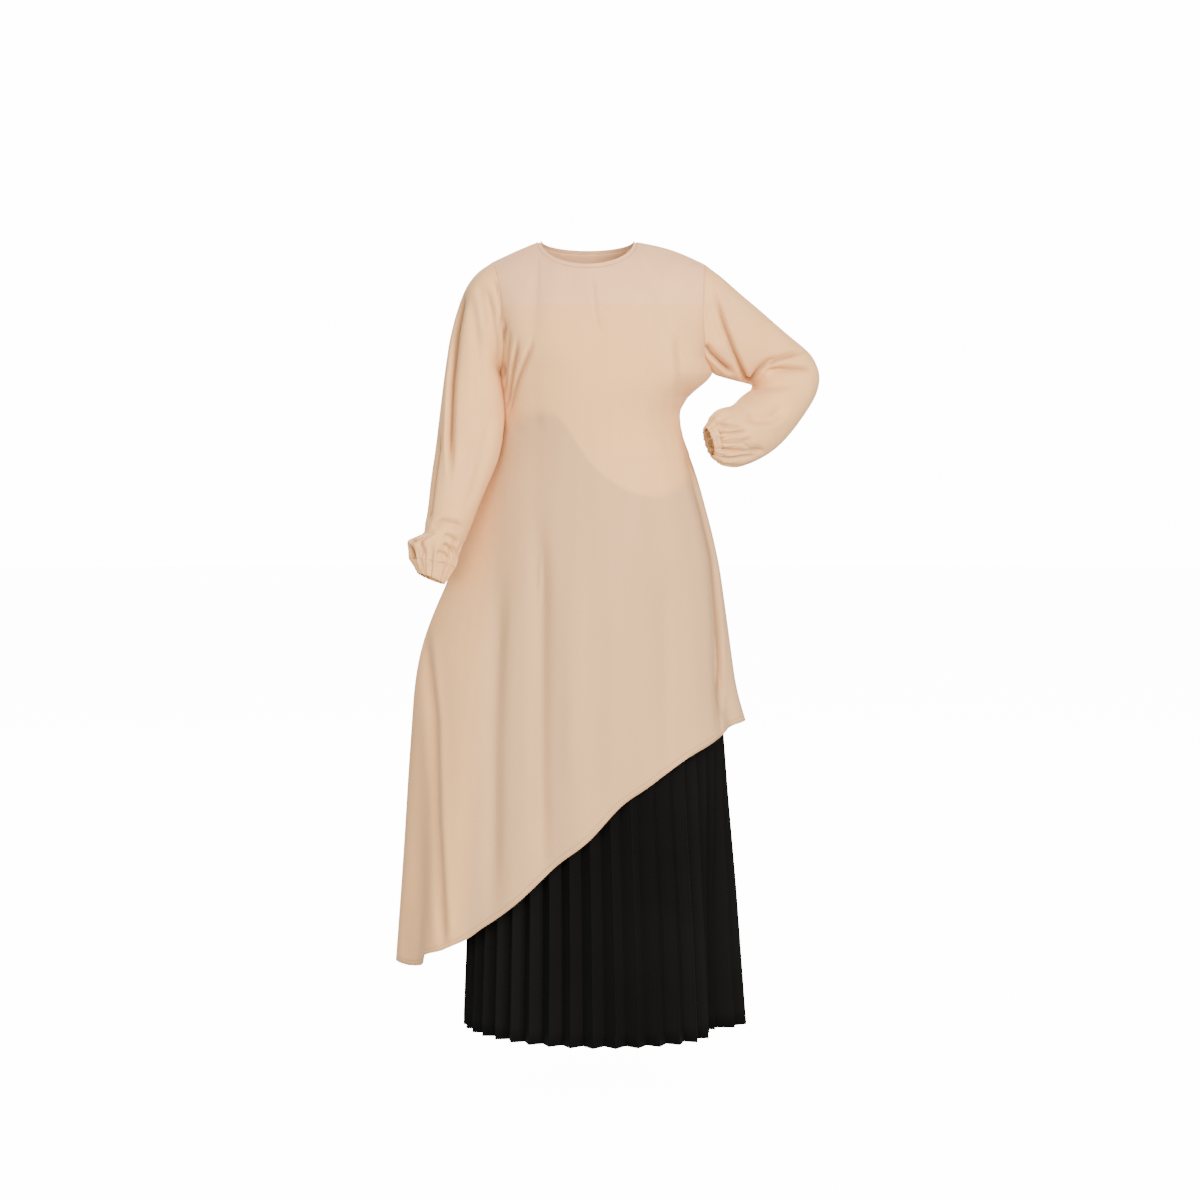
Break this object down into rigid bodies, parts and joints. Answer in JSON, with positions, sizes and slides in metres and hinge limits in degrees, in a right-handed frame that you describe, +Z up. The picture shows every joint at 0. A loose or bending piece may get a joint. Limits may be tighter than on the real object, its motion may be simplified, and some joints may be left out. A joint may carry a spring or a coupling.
{
  "type": "asymmetric abaya",
  "caption": "Full-length hollow garment in worn form: long-sleeved beige overdress with gathered cuffs and a slanting hem over a black accordion-pleated skirt.",
  "frame": {"origin": "midway between the two neck points, where the wearer's shoulders carry the garment", "axes": "+X to the wearer's left, -Y the front, +Z up along the garment's length"},
  "size_m": [0.7488, 0.3913, 1.3725],
  "materials": {
    "beige_crepe": "matte crepe",
    "black_pleated_crepe": "matte, pressed pleats"
  },
  "bodies": {
    "root": {"front_panel": "beige_crepe", "back_panel": "beige_crepe", "sleeve_right": "beige_crepe", "sleeve_left": "beige_crepe", "cuff_right": "beige_crepe", "cuff_left": "beige_crepe", "neck_binding": "beige_crepe", "skirt_front": "black_pleated_crepe", "skirt_back": "black_pleated_crepe", "skirt_waistband": "black_pleated_crepe"}
  },
  "joints": []
}
